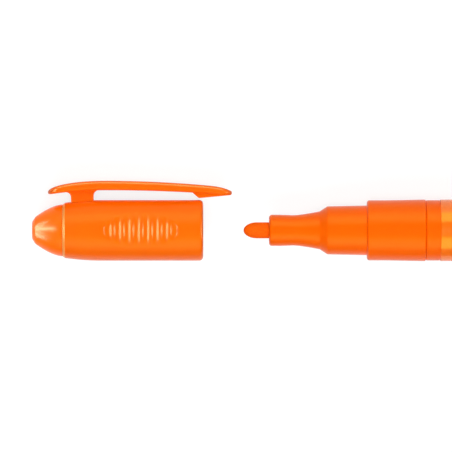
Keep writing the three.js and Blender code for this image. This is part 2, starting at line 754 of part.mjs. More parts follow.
// Origin under the middle of the whole, on the surface that it lies on
const resting = new THREE.Group();
resting.add(marker, ball);
const bounds = new THREE.Box3().setFromObject(resting, true);
const centre = bounds.getCenter(new THREE.Vector3());
resting.position.set(-centre.x, -centre.y, -bounds.min.z);

const part = new THREE.Group();
part.add(resting);

export default part;
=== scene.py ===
# %% [markdown]
# # A paint marker with its cap drawn off
#
# The object is an orange paint marker: a fibre nib in a moulded front section, a barrel in a
# film sleeve, and a cap with a pocket clip. Nearly all of it that shows is smooth moulded
# plastic, so the lesson is about turned sections, one lofted clip, and gloss that tells
# plastics apart.
#
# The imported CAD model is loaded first. It is the frame: each new piece is drawn where the CAD
# has it, in metres, and rides on one of its bodies.

# %% Load the frame
import math

import bmesh
import bpy
import numpy as np
from mathutils import Matrix, Vector


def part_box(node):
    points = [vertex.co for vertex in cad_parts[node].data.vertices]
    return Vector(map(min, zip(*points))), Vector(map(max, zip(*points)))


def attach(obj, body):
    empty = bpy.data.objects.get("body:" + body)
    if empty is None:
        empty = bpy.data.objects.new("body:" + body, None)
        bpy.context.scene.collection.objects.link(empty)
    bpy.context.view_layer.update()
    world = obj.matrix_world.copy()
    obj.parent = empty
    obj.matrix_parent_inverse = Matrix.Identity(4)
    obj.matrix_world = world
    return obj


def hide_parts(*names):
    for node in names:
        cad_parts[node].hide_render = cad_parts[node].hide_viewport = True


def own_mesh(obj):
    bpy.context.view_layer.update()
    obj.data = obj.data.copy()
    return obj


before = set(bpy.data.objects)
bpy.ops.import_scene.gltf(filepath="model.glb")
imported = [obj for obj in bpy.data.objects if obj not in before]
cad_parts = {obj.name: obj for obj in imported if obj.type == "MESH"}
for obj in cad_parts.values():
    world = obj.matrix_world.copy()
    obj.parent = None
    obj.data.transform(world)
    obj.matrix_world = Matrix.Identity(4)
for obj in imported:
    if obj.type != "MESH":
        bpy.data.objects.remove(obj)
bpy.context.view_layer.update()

# %% [markdown]
# The marker is turned about its axis, so it is easiest to draw in its own frame: X along the
# axis from the collar's shoulder, Y towards the clip, Z towards the photograph's camera. The
# marker lies rolled on the barrel and the clip's edge. One matrix takes a point in millimetres
# from that frame to the row frame, and its numbers are measured on the CAD nodes.

# %% The marker's own frame
MM = 0.001
COLLAR_LENGTH = 14.3
JOINT_GAP = 0.1
CLIP_TOP = 12.04
CLIP_HALF_WIDTH = 3.5
LABEL_RADIUS = 7.5
CAP_TRAVEL = 39.8

label_low, label_high = (Vector(corner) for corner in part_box("label_film"))
axis_point = (label_low + label_high) / 2
axis_point.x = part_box("barrel")[0][0] - (COLLAR_LENGTH + JOINT_GAP) * MM
edge_reach = math.hypot(CLIP_TOP, CLIP_HALF_WIDTH)
roll = math.atan2(CLIP_HALF_WIDTH, CLIP_TOP) - math.asin(LABEL_RADIUS / edge_reach)
to_row = Matrix.Translation(axis_point) @ Matrix.Rotation(roll, 4, "X") @ Matrix.Scale(MM, 4)
to_row_cap = to_row @ Matrix.Translation((-CAP_TRAVEL, 0, 0))
print(f"shoulder at {[round(1000 * v, 3) for v in axis_point]} mm, roll {math.degrees(roll):.2f}")

# %% [markdown]
# ## Turned pieces
#
# Nose, barrel, label and cap are all surfaces of revolution. Blender's Screw modifier could
# turn a section, but the cap's grips need the radius to change round the turn, so a short
# function makes the rings itself. Real mouldings have no sharp corners, and it is the small
# rounded edges that catch the light. Each corner of a section therefore carries a radius, and
# a rational curve makes it a true arc. Two arcs on one edge share it in step with their radii.

# %% Section helpers
ARC_STEPS = 6
EDGE_SHARE = 0.998


def rounded(corners):
    """Points of a section from corners (x, r) or (x, r, radius), with true arcs at the radii."""
    points = []
    radii = [corner[2] if len(corner) > 2 else 0 for corner in corners]
    for i, radius in enumerate(radii):
        here = Vector(corners[i][:2])
        if radius == 0:
            points.append(here)
            continue
        following = (i + 1) % len(corners)
        before = Vector(corners[i - 1][:2]) - here
        after = Vector(corners[following][:2]) - here
        half = before.angle(after) / 2
        reach = min(
            radius / math.tan(half),
            EDGE_SHARE * before.length * radius / (radius + radii[i - 1]),
            EDGE_SHARE * after.length * radius / (radius + radii[following]))
        start = here + before.normalized() * reach
        end = here + after.normalized() * reach
        for k in range(ARC_STEPS + 1):
            t = k / ARC_STEPS
            a, b, c = (1 - t) ** 2, 2 * t * (1 - t) * math.sin(half), t * t
            points.append((start * a + here * b + end * c) / (a + b + c))
    return points


def bend(start, control, end, steps=16):
    """Corners along a curve that leaves start and reaches end in the direction of control."""
    corners = []
    for k in range(steps + 1):
        t = k / steps
        corners.append(tuple(
            (1 - t) ** 2 * s + 2 * t * (1 - t) * c + t * t * e
            for s, c, e in zip(start, control, end)))
    return corners


square = rounded([(0, 0, 1), (9, 0, 1), (9, 9, 1), (0, 9, 1)])
print("a 9 mm square with corners of 1 mm has", len(square), "points")

# %% [markdown]
# Every piece goes through one function at its end.

# %% Placing a piece
def face_outwards(mesh):
    """The mesh with the normals of its faces turned outwards."""
    turned = bmesh.new()
    turned.from_mesh(mesh)
    bmesh.ops.recalc_face_normals(turned, faces=turned.faces)
    turned.to_mesh(mesh)
    turned.free()
    return mesh


def finish_mesh(name, mesh, place, body, crease=32):
    """An object of the mesh, placed in the row frame, smooth but for its creases."""
    mesh.transform(place)
    face_outwards(mesh)
    mesh.polygons.foreach_set("use_smooth", [True] * len(mesh.polygons))
    mesh.set_sharp_from_angle(angle=math.radians(crease))
    piece = bpy.data.objects.new(name, mesh)
    bpy.context.scene.collection.objects.link(piece)
    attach(piece, body)
    size = [1000 * v for v in piece.dimensions]
    print(f"{name}: {len(mesh.polygons)} faces, {size[0]:.1f} x {size[1]:.1f} x {size[2]:.1f} mm")
    return piece


# %% [markdown]
# To turn a section, each of its points becomes a ring of vertices, and rings that follow each
# other are joined with quads. A point on the axis becomes a single pole.

# %% Turning
ON_AXIS = 1e-6


def turned_mesh(name, section, sides=144, radius_at=None):
    """A mesh turned about X. Points of the section that lie on the axis become poles."""
    verts, rings, faces = [], [], []
    for point in section:
        if point.y < ON_AXIS:
            rings.append([len(verts)] * sides)
            verts.append((point.x, 0, 0))
            continue
        rings.append(list(range(len(verts), len(verts) + sides)))
        for k in range(sides):
            angle = 2 * math.pi * k / sides
            r = radius_at(point.x, point.y, angle) if radius_at else point.y
            verts.append((point.x, r * math.cos(angle), r * math.sin(angle)))
    for i, ring in enumerate(rings):
        following = rings[(i + 1) % len(rings)]
        for k in range(sides):
            n = (k + 1) % sides
            face = dict.fromkeys((ring[k], ring[n], following[n], following[k]))
            if len(face) > 2:
                faces.append(list(face))
    mesh = bpy.data.meshes.new(name)
    mesh.from_pydata(verts, [], faces)
    return mesh


# %% [markdown]
# ## Front section
#
# One polypropylene moulding: a round nose that holds the nib, a slight waist, a flare, the seat
# that the cap slides on, and the collar. The seat meets the collar in a shoulder whose edge is
# a generous arc, and the nose's face has a softer one. The spigot behind the collar is hidden
# in the barrel, and it is drawn too, because the piece can be looked at by itself.

# %% Front section
NOSE_FACE = -23.8
NOSE_RADIUS = 3.8
WAIST = (-18.1, 3.69)
FLARE = (-11.5, 4.62)
SEAT_FRONT = (-9.6, 5.85)
SEAT_BACK_RADIUS = 6.05
COLLAR_FRONT_RADIUS = 7.32
NIB_BORE = 2.1
CHAMBER_RADIUS = 4.35
CHAMBER_BACK = 1.7
SPIGOT_END = 24.3
SPIGOT_RADIUS = 6.25
SPIGOT_BORE = 5.35

front_corners = [
    (NOSE_FACE, NIB_BORE, 0.1),
    (NOSE_FACE, NOSE_RADIUS, 0.7),
    *bend((-21.5, NOSE_RADIUS), (-20, NOSE_RADIUS - 0.02), WAIST, 6),
    *bend(WAIST, (-16.1, WAIST[1]), FLARE)[1:-1],
    (*FLARE, 0.9),
    (*SEAT_FRONT, 0.8),
    (0, SEAT_BACK_RADIUS, 0.12),
    (0, COLLAR_FRONT_RADIUS, 1.25),
    (4.5, COLLAR_FRONT_RADIUS, 8),
    (COLLAR_LENGTH, LABEL_RADIUS, 0.3),
    (COLLAR_LENGTH, SPIGOT_RADIUS, 0.05),
    (SPIGOT_END, SPIGOT_RADIUS, 0.2),
    (SPIGOT_END, SPIGOT_BORE, 0.1),
    (CHAMBER_BACK, SPIGOT_BORE),
    (CHAMBER_BACK, CHAMBER_RADIUS),
    (-8.4, CHAMBER_RADIUS, 0.5),
    (-11.2, NIB_BORE, 0.5),
]
front_section = finish_mesh(
    "front_section_moulding", turned_mesh("front_section_moulding", rounded(front_corners)),
    to_row, "marker")
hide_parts("front_section")

# %% [markdown]
# ## Nib
#
# A rod of bonded polyester fibre, ground to a bullet point. Its outline is an ellipse, not a
# cone, and writing has not yet flattened it.

# %% Nib
NIB_RADIUS = 1.95
NIB_POINT = 3.3
NIB_TIP = -30.0
NIB_BACK = -3.0
NIB_STEPS = 20
nib_corners = [
    (NIB_TIP + NIB_POINT * (1 - math.cos(angle)), NIB_RADIUS * math.sin(angle))
    for angle in (math.pi / 2 * k / NIB_STEPS for k in range(NIB_STEPS + 1))
]
nib_corners += [(NIB_BACK, NIB_RADIUS, 0.15), (NIB_BACK, 0)]
nib = finish_mesh(
    "nib_rod", turned_mesh("nib_rod", rounded(nib_corners)), to_row, "nib")
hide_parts("nib")

# %% [markdown]
# ## Barrel, label and tail plug
#
# The barrel shows as two narrow bands, one behind the collar and one before the tail plug.
# Between them a film is shrunk on. Its edges are thin but they show as fine lines, so they are
# real steps in the mesh. The CAD keeps 0.1 mm between pieces, which would render as black
# lines. Pieces that bear on each other come closer here.

# %% Barrel
TOUCH = 0.02
BARREL_LENGTH = 77.35
BARREL_START = COLLAR_LENGTH + JOINT_GAP
BARREL_END = BARREL_START + BARREL_LENGTH
BAND_LENGTH = 3.45
BAND_RADIUS = 7.35
FILM_SEAT_RADIUS = 7.1
FILM_BORE = 7.2
BORE_RADIUS = 6.4
barrel_corners = [
    (COLLAR_LENGTH + TOUCH, BORE_RADIUS, 0.1),
    (COLLAR_LENGTH + TOUCH, BAND_RADIUS, 0.35),
    (BARREL_START + BAND_LENGTH, BAND_RADIUS, 0.06),
    (BARREL_START + BAND_LENGTH, FILM_SEAT_RADIUS),
    (BARREL_END - BAND_LENGTH, FILM_SEAT_RADIUS),
    (BARREL_END - BAND_LENGTH, BAND_RADIUS, 0.06),
    (BARREL_END, BAND_RADIUS, 0.1),
    (BARREL_END, BORE_RADIUS, 0.1),
]
barrel = finish_mesh(
    "barrel_tube", turned_mesh("barrel_tube", rounded(barrel_corners)),
    to_row, "marker")
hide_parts("barrel")

film_corners = [
    (BARREL_START + BAND_LENGTH + TOUCH, FILM_BORE, 0.03),
    (BARREL_START + BAND_LENGTH + TOUCH, LABEL_RADIUS, 0.09),
    (BARREL_END - BAND_LENGTH - TOUCH, LABEL_RADIUS, 0.09),
    (BARREL_END - BAND_LENGTH - TOUCH, FILM_BORE, 0.03),
]
film = finish_mesh(
    "label_sleeve", turned_mesh("label_sleeve", rounded(film_corners)),
    to_row, "marker")
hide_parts("label_film")

# %% [markdown]
# The tail plug is a moulded cup that is pressed into the barrel's end. Its outer edge is well
# rounded, and the flat face inside it, 12 mm across, is what the capped marker stands on.

# %% Tail plug
TAIL_START = BARREL_END + TOUCH
TAIL_FACE = BARREL_END + 5.5
TAIL_WALL = 1.6
PLUG_DEPTH = 7.5
PLUG_BORE = 5.15
tail_corners = [
    (TAIL_START - PLUG_DEPTH, PLUG_BORE, 0.2),
    (TAIL_START - PLUG_DEPTH, SPIGOT_RADIUS, 0.3),
    (TAIL_START, SPIGOT_RADIUS),
    (TAIL_START, BAND_RADIUS, 0.12),
    (TAIL_FACE, BAND_RADIUS, 1.4),
    (TAIL_FACE, 0),
    (TAIL_FACE - TAIL_WALL, 0),
    (TAIL_FACE - TAIL_WALL, PLUG_BORE, 0.4),
]
tail = finish_mesh(
    "tail_cup", turned_mesh("tail_cup", rounded(tail_corners)),
    to_row, "marker")
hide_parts("tail_plug")

# %% [markdown]
# ## Cap
#
# The shell is a tube that narrows a little at its closed end, where it takes up the crown. The
# clip's foot has to follow the same curve a little further out, so the curve is a function.

# %% The shell's outline
SHELL_END = -34.2
SHELL_RADIUS = 7.38
SHELL_END_RADIUS = 6.75
RING_WIDTH = 0.62


def shell_taper(grow=0.0):
    """Corners of the shell's narrowing end, or of a surface that far outside it."""
    return bend(
        (SHELL_END + 9.5, SHELL_RADIUS + grow), (SHELL_END + 5.1, SHELL_RADIUS + grow),
        (SHELL_END + RING_WIDTH + 0.1, SHELL_END_RADIUS + grow))


print(f"the shell narrows by {SHELL_RADIUS - SHELL_END_RADIUS:.2f} mm all round")

# %% [markdown]
# An oval of seven rounded ribs is sunk in each side of the shell for the fingers. They could be
# a bump in the material, but their highlights are what the eye sees first on this cap, so they
# are in the mesh: the radius is taken back between the ribs. The depth fades to nothing at the
# oval's long sides and is steep only at its two ends, as on the real cap.

# %% Finger grips
GRIP_X = -15.1
GRIP_HALF_LENGTH = 9.12
GRIP_HALF_WIDTH = 4.3
GRIP_DEPTH = 0.4
GRIP_EDGE = 0.5
RIBS = 7
RIB_PITCH = 2.28
RIB_HALF_WIDTH = 0.98


def grip_radius(x, r, angle):
    """The shell's outer radius, taken back between the ribs of the two oval grips."""
    along = abs(x - GRIP_X) / GRIP_HALF_LENGTH
    if r < SHELL_RADIUS - 0.01 or along >= 1:
        return r
    across = r * math.cos(angle) / (GRIP_HALF_WIDTH * math.sqrt(1 - along * along))
    fade = max(0.0, 1 - across * across)
    end = min(1.0, (1 - along) * GRIP_HALF_LENGTH / GRIP_EDGE)
    number = min(RIBS - 1, max(0, round((x - GRIP_X) / RIB_PITCH + (RIBS - 1) / 2)))
    off = (x - GRIP_X - (number - (RIBS - 1) / 2) * RIB_PITCH) / RIB_HALF_WIDTH
    rib = math.cos(math.pi / 2 * min(1.0, abs(off))) ** 2
    return r - GRIP_DEPTH * (1 - rib) * fade * end * end * (3 - 2 * end)


for where, x in (("on", GRIP_X), ("beside", GRIP_X + RIB_PITCH / 2)):
    print(f"radius {where} a rib: {grip_radius(x, SHELL_RADIUS, math.pi / 2):.2f} mm")

# %% [markdown]
# The section has a point every 0.12 mm along the grip. That is nineteen rings to a rib, enough
# for its round top to stay smooth in a close view. Inside, the shell has a wide bore for the
# seat, a stop for the inner cap and a bore for the crown's plug.

# %% Cap shell
SHELL_SIDES = 240
CAP_BORE = 6.2
CROWN_BORE = 5.92
STOP_BORE = 5.0
STOP_FACE = -25.2
STOP_BACK = -26.3
GRIP_STEP = 0.12
GRIP_MARGIN = 0.3

grip_start = GRIP_X - GRIP_HALF_LENGTH - GRIP_MARGIN
grip_points = round(2 * (GRIP_HALF_LENGTH + GRIP_MARGIN) / GRIP_STEP)
shell_corners = [
    (0, CAP_BORE, 0.12),
    (0, SHELL_RADIUS, 0.95),
    *[(grip_start + GRIP_STEP * k, SHELL_RADIUS) for k in range(grip_points, -1, -1)],
    *shell_taper(),
    (SHELL_END + RING_WIDTH, SHELL_END_RADIUS - 0.01, 0.3),
    (SHELL_END, 6.33, 0.2),
    (SHELL_END, CROWN_BORE, 0.04),
    (STOP_BACK, CROWN_BORE),
    (STOP_BACK, STOP_BORE),
    (STOP_FACE, STOP_BORE, 0.1),
    (STOP_FACE, CAP_BORE, 0.2),
]
shell_mesh = turned_mesh(
    "cap_shell_moulding", rounded(shell_corners), SHELL_SIDES, grip_radius)
print("rings in the shell:", len(shell_mesh.vertices) // SHELL_SIDES)

# %% [markdown]
# The clip's post ends in a tenon that sits in a shallow pocket in the shell. A Boolean
# modifier cuts the pocket out of the finished rings, which is simpler than drawing it into
# them. Its result is read back as a plain mesh, so that no modifier is left.

# %% Joining and cutting
def combined(name, base, operation, *tools):
    """The base mesh joined with, or cut by, the tool meshes, as one new mesh."""
    host = bpy.data.objects.new(name, base)
    bpy.context.scene.collection.objects.link(host)
    spare = [host]
    for tool in tools:
        other = bpy.data.objects.new(name + "_tool", tool)
        bpy.context.scene.collection.objects.link(other)
        spare.append(other)
        cut = host.modifiers.new("cut", "BOOLEAN")
        cut.operation = operation
        cut.solver = "EXACT"
        cut.object = other
    seen = host.evaluated_get(bpy.context.evaluated_depsgraph_get())
    mesh = bpy.data.meshes.new_from_object(seen)
    for thing in spare:
        bpy.data.objects.remove(thing)
    print(f"{name}: {len(tools)} x {operation.lower()}, {len(mesh.polygons)} faces")
    return mesh


# %% [markdown]
# The tenon, and later the clip, are lofts: rings with as many points each, joined in order and
# closed with a flat face at both ends. Most of the rings are rectangles with rounded corners.

# %% Lofting
def lofted(name, rings):
    """A closed mesh through rings of equal count, with flat ends."""
    count = len(rings[0])
    verts = [point for ring in rings for point in ring]
    faces = [list(range(count)), list(range(len(verts) - count, len(verts)))]
    for i in range(len(rings) - 1):
        for k in range(count):
            n = (k + 1) % count
            faces.append([
                i * count + k, i * count + n, (i + 1) * count + n, (i + 1) * count + k])
    mesh = bpy.data.meshes.new(name)
    mesh.from_pydata(verts, [], faces)
    return face_outwards(mesh)


def rounded_box(low_a, high_a, low_b, high_b, radius, high_radius=None):
    """A rectangle with rounded corners, as pairs. Those at its high a may be rounder."""
    top = high_radius or radius
    return rounded([
        (low_a, low_b, radius), (high_a, low_b, top), (high_a, high_b, top),
        (low_a, high_b, radius)])


# %% [markdown]
# Tenon and pocket are one shape, drawn twice: the pocket is larger all round by the fit. So
# the clip can be a piece of its own without a hole showing round its foot.

# %% Tenon pocket
POST_X = SHELL_END + 4.8
TENON = (4.0, 2.6)
TENON_FOOT = 6.62
FIT = 0.15


def tenon_box(name, grow, foot):
    """The tenon, or with a gap added the pocket for it."""
    half_x, half_z = TENON[0] / 2 + grow, TENON[1] / 2 + grow
    return lofted(name, [
        [(POST_X + a, y, b) for a, b in rounded_box(-half_x, half_x, -half_z, half_z, 0.2)]
        for y in (foot, 9.0)])


shell = finish_mesh(
    "cap_shell_moulding",
    combined("cap_shell", shell_mesh, "DIFFERENCE", tenon_box("pocket", FIT, TENON_FOOT - FIT)),
    to_row_cap, "cap", 40)
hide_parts("cap_shell")

# %% [markdown]
# The crown is pressed into the shell's end. It is a blunt dome with a swelling flank and a
# small flat face. It is slightly slimmer than the shell, whose edge stands round it as a ring.

# %% Crown
CROWN_START = SHELL_END - JOINT_GAP
CROWN_FACE = CROWN_START - 7.3
CROWN_EDGE = (CROWN_FACE + 0.75, 3.28)
CROWN_WALL = 3.9
CROWN_PLUG_END = -27.7
CROWN_PLUG_BORE = 5.0
FLANGE_RADIUS = 5.77
crown_corners = [
    (CROWN_PLUG_END, CROWN_PLUG_BORE, 0.1),
    (CROWN_PLUG_END, FLANGE_RADIUS, 0.2),
    (SHELL_END - TOUCH, FLANGE_RADIUS),
    (SHELL_END - TOUCH, 6.3, 0.1),
    *bend((CROWN_START - 0.15, 6.29), (CROWN_FACE + 4.58, 6.06), CROWN_EDGE)[:-1],
    (*CROWN_EDGE, 1.0),
    (CROWN_FACE, 2.1, 0.5),
    (CROWN_FACE, 0),
    (CROWN_FACE + CROWN_WALL, 0),
    (CROWN_FACE + CROWN_WALL, 2.4, 0.5),
    (SHELL_END - TOUCH, 3.7, 0.4),
    (SHELL_END - TOUCH, CROWN_PLUG_BORE, 0.1),
]
crown = finish_mesh(
    "cap_crown_moulding", turned_mesh("cap_crown_moulding", rounded(crown_corners)),
    to_row_cap, "cap")
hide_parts("cap_crown")

# %% [markdown]
# The inner cap is a soft cup that closes round the nose, so that the nib doesn't dry out. Its
# flange is held between the shell's stop and the crown's plug.

# %% Inner cap
INNER_BORE = 3.95
INNER_RADIUS = 4.85
INNER_MOUTH = -18.8
INNER_LIP = 0.5
INNER_END = -32.1
INNER_WALL = 0.9
INNER_FLANGE = (STOP_BACK - JOINT_GAP, CROWN_PLUG_END + JOINT_GAP)
inner_corners = [
    (INNER_MOUTH, INNER_BORE + INNER_LIP, 0.1),
    (INNER_MOUTH, INNER_RADIUS, 0.15),
    (INNER_FLANGE[0], INNER_RADIUS),
    (INNER_FLANGE[0], FLANGE_RADIUS, 0.1),
    (INNER_FLANGE[1], FLANGE_RADIUS, 0.1),
    (INNER_FLANGE[1], INNER_RADIUS),
    (INNER_END, INNER_RADIUS, 0.3),
    (INNER_END, 0),
    (INNER_END + INNER_WALL, 0),
    (INNER_END + INNER_WALL, INNER_BORE, 0.5),
    (INNER_MOUTH - INNER_LIP, INNER_BORE, 0.3),
]
inner_cap = finish_mesh(
    "inner_cap_liner", turned_mesh("inner_cap_liner", rounded(inner_corners)),
    to_row_cap, "cap")
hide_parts("inner_cap")

# %% [markdown]
# ## Pocket clip
#
# The clip is an arm over the whole cap, a post that carries it, and a pad at its tip that grips
# the cloth. The arm could be a cube under a subdivision surface, but its outline is known from
# the photograph, so it is drawn first: one curve for its top and one for its underside.

# %% The arm's outline
CLIP_UNDER = 9.76
CLIP_TAIL = SHELL_END - 3.6
CLIP_CREST = SHELL_END + 10.3
CLIP_TIP = 7.0
TIP_START = (CLIP_TIP - 5.2, CLIP_TOP - 1.2)
TIP_ROUND = 0.45
TAIL_DROP = 2.8
TAIL_TOP = CLIP_TOP - TAIL_DROP
TAIL_CORNER = (CLIP_TAIL + 0.75, CLIP_UNDER - 0.98)
CREST_UNDER = (CLIP_CREST, CLIP_UNDER)
QUARTER_STEPS = 40


def sampled(corners):
    """A height by x, from corners along a curve."""
    xs, ys = zip(*sorted((c[0], c[1]) for c in corners))
    return lambda x: float(np.interp(x, xs, ys))


quarter_turn = [math.pi / 2 * k / QUARTER_STEPS for k in range(QUARTER_STEPS + 1)]
arm_top = sampled(
    [(CLIP_CREST - (CLIP_CREST - CLIP_TAIL) * math.cos(a), TAIL_TOP + TAIL_DROP * math.sin(a))
     for a in quarter_turn]
    + bend((CLIP_CREST, CLIP_TOP), ((CLIP_CREST + TIP_START[0]) / 2, CLIP_TOP),
           TIP_START, 40)[1:]
    + bend(TIP_START, (CLIP_TIP - 1.9, CLIP_TOP - 1.55),
           (CLIP_TIP - TIP_ROUND, CLIP_UNDER - 0.1), 30)[1:]
    + [(CLIP_TIP - TIP_ROUND * (1 - math.sin(a)), CLIP_UNDER - 0.65 + 0.55 * math.cos(a))
       for a in quarter_turn[1:]])
arm_under = sampled(
    bend((CLIP_TAIL, TAIL_TOP - 0.12), (CLIP_TAIL + 0.12, CLIP_UNDER - 1.04), TAIL_CORNER, 12)
    + bend(TAIL_CORNER, ((CLIP_CREST + CLIP_TAIL) / 2, CLIP_UNDER), CREST_UNDER, 30)[1:]
    + bend(CREST_UNDER, ((CLIP_CREST + CLIP_TIP) / 2, CLIP_UNDER),
           (CLIP_TIP - TIP_ROUND, CLIP_UNDER - 1.2), 40)[1:]
    + [(CLIP_TIP - TIP_ROUND * (1 - math.sin(a)), CLIP_UNDER - 0.67 - 0.53 * math.cos(a))
       for a in quarter_turn[1:]])
print(f"the arm is {arm_top(CLIP_CREST) - arm_under(CLIP_CREST):.2f} mm thick at its crest")

# %% [markdown]
# The arm is lofted between the two curves, with a ring of rounded corners at each station, as
# wide as the plan says. A cosine puts the stations closer together at the arm's two ends, where
# it turns most. Its upper edges are the rounder ones: they give the pale line along its top.

# %% Arm
SLIM = 2.8
STATIONS = 150
UNDER_EDGE = 0.65
UPPER_EDGE = 0.95


def arm_half_width(x):
    """Half of the arm's width in plan: rounded tail, straight to the crest, slim round tip."""
    if x < CLIP_TAIL + SLIM:
        return CLIP_HALF_WIDTH * math.sqrt(max(0, 1 - ((CLIP_TAIL + SLIM - x) / SLIM) ** 2))
    if x > CLIP_TIP - SLIM:
        return math.sqrt(max(0, SLIM ** 2 - (x - CLIP_TIP + SLIM) ** 2))
    share = max(0, (x - CLIP_CREST) / (CLIP_TIP - SLIM - CLIP_CREST))
    return CLIP_HALF_WIDTH + share * (SLIM - CLIP_HALF_WIDTH)


arm_rings = []
for i in range(1, STATIONS):
    x = CLIP_TAIL + (CLIP_TIP - CLIP_TAIL) * (1 - math.cos(math.pi * i / STATIONS)) / 2
    half = arm_half_width(x)
    section = rounded_box(arm_under(x), arm_top(x), -half, half, UNDER_EDGE, UPPER_EDGE)
    arm_rings.append([(x, y, z) for y, z in section])
arm_mesh = lofted("arm", arm_rings)
print(f"arm: {len(arm_rings)} stations of {len(arm_rings[0])} points")

# %% [markdown]
# The post is lofted upwards and spreads into the arm in a quarter curve, as a moulded root has
# to, or it would snap. Its foot is cut to the shell's round side with the shell's own section,
# set off a little.

# %% Post
POST_HALF_LENGTH = 2.75
POST_FLARE = 1.3
POST_HALF_WIDTH = 2.2
POST_FOOT = (6.4, 7.5)
POST_ROOT = 8.3
POST_STEP = 0.06
POST_STEPS = 33
FOOT_GAP = 0.1


def post_ring(y):
    """The post's section at a height: it spreads in a quarter curve where it meets the arm."""
    ends = []
    for way, top in ((-1, arm_under(POST_X - POST_HALF_LENGTH - POST_FLARE)), (1, CLIP_UNDER)):
        rise = min(1.0, max(0.0, 1 - (top - y) / POST_FLARE))
        spread = POST_FLARE * (1 - math.sqrt(max(0.0, 1 - rise * rise)))
        ends.append(POST_X + way * (POST_HALF_LENGTH + spread))
    return [
        (a, y, b)
        for a, b in rounded_box(*ends, -POST_HALF_WIDTH, POST_HALF_WIDTH, 0.3)]


post_heights = [*POST_FOOT, *[POST_ROOT + POST_STEP * k for k in range(POST_STEPS)]]
post_mesh = lofted("post", [post_ring(y) for y in post_heights])
foot_corners = [
    (0, 0), (0, SHELL_RADIUS + FOOT_GAP), *shell_taper(FOOT_GAP),
    (SHELL_END - 2, SHELL_END_RADIUS + FOOT_GAP), (SHELL_END - 2, 0),
]
foot_tool = face_outwards(turned_mesh("foot_tool", rounded(foot_corners), SHELL_SIDES))
post_mesh = combined("post", post_mesh, "DIFFERENCE", foot_tool)

# %% [markdown]
# The pad is a wedge drawn from the side and trimmed to the arm's plan. The real clip is one
# moulding, so arm, post, pad and tenon are then joined into one closed mesh, without faces
# inside it.

# %% Pad and whole clip
PAD_BACK = -2.6
PAD_HALF_WIDTH = 2.2
PLAN_STEPS = 120

pad_side = rounded([
    (PAD_BACK, CLIP_UNDER - 0.6), (-1.1, 7.83, 0.6), (CLIP_TIP - 0.35, CLIP_UNDER - 1.2),
    (CLIP_TIP - 4.0, CLIP_UNDER - 0.4), (PAD_BACK, CLIP_UNDER)])
pad_mesh = lofted("pad", [
    [(x, y, z) for x, y in pad_side] for z in np.linspace(-PAD_HALF_WIDTH, PAD_HALF_WIDTH, 12)])
plan_points = [
    CLIP_TAIL + (CLIP_TIP - CLIP_TAIL) * k / PLAN_STEPS for k in range(1, PLAN_STEPS)]
plan = [(x, -arm_half_width(x)) for x in plan_points]
plan += [(x, arm_half_width(x)) for x in reversed(plan_points)]
plan_mesh = lofted("plan", [[(x, y, z) for x, z in plan] for y in (6.0, 14.0)])
pad_mesh = combined("pad", pad_mesh, "INTERSECT", plan_mesh)
clip = finish_mesh(
    "pocket_clip_moulding",
    combined("pocket_clip", arm_mesh, "UNION", post_mesh, pad_mesh,
             tenon_box("tenon", 0.0, TENON_FOOT)),
    to_row_cap, "clip", 34)
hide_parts("pocket_clip")

# %% [markdown]
# ## Valve and ball
#
# Behind the nib sits the valve. Pressing the nib pushes the stem back, whose head takes the
# seal off the port in the cup's front wall, and paint flows to the nib. All of it is hidden,
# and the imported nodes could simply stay, but they have few sides, and a piece can be looked at
# by itself. They are turned again with round edges, in the same places.

# %% Valve
VALVE_SIDES = 96
CUP_RADIUS = 5.2
CUP_BORE = 3.8
CUP_FLANGE = (24.6, 25.8)
CUP_END = 30.8
CUP_MOUTH_RADIUS = 5.1


def valve_piece(name, mesh, body, node):
    """A piece of the valve from its mesh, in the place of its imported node."""
    piece = finish_mesh(name, mesh, to_row, body)
    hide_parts(node)
    return piece


valve_cup = valve_piece("valve_cup_moulding", turned_mesh("valve_cup_moulding", rounded([
    (1.8, 1.8, 0.05), (1.8, CUP_RADIUS, 0.3), (CUP_FLANGE[0], CUP_RADIUS),
    (CUP_FLANGE[0], SPIGOT_RADIUS, 0.1), (CUP_FLANGE[1], SPIGOT_RADIUS, 0.15),
    (CUP_FLANGE[1], CUP_MOUTH_RADIUS), (CUP_END, CUP_MOUTH_RADIUS, 0.2),
    (CUP_END, CUP_BORE, 0.2), (3.4, CUP_BORE, 0.2), (3.4, 2.2, 0.1), (3.0, 1.8, 0.05)]),
    VALVE_SIDES), "marker", "valve_cup")
valve_seal = valve_piece("valve_seal_washer", turned_mesh("valve_seal_washer", rounded([
    (3.5, 1.2, 0.05), (3.5, 2.7, 0.1), (4.3, 2.7, 0.1), (4.3, 1.2, 0.05)]), VALVE_SIDES),
    "nib", "valve_seal")
valve_stem = valve_piece("valve_stem_moulding", turned_mesh("valve_stem_moulding", rounded([
    (-2.7, 0), (-2.7, 1.5, 0.2), (-1.7, 1.5, 0.1), (-1.7, 1.1, 0.05), (4.4, 1.1), (4.4, 2.8, 0.1),
    (5.6, 2.8, 0.2), (5.6, 1.3, 0.05), (14.6, 1.3, 0.3), (14.6, 0)]), VALVE_SIDES),
    "nib", "valve_stem")

# %% [markdown]
# The retaining disc closes the cup behind the spring. Four notches in its rim let the paint
# past. They are cut with the Boolean helper, because a turned section can't have them.

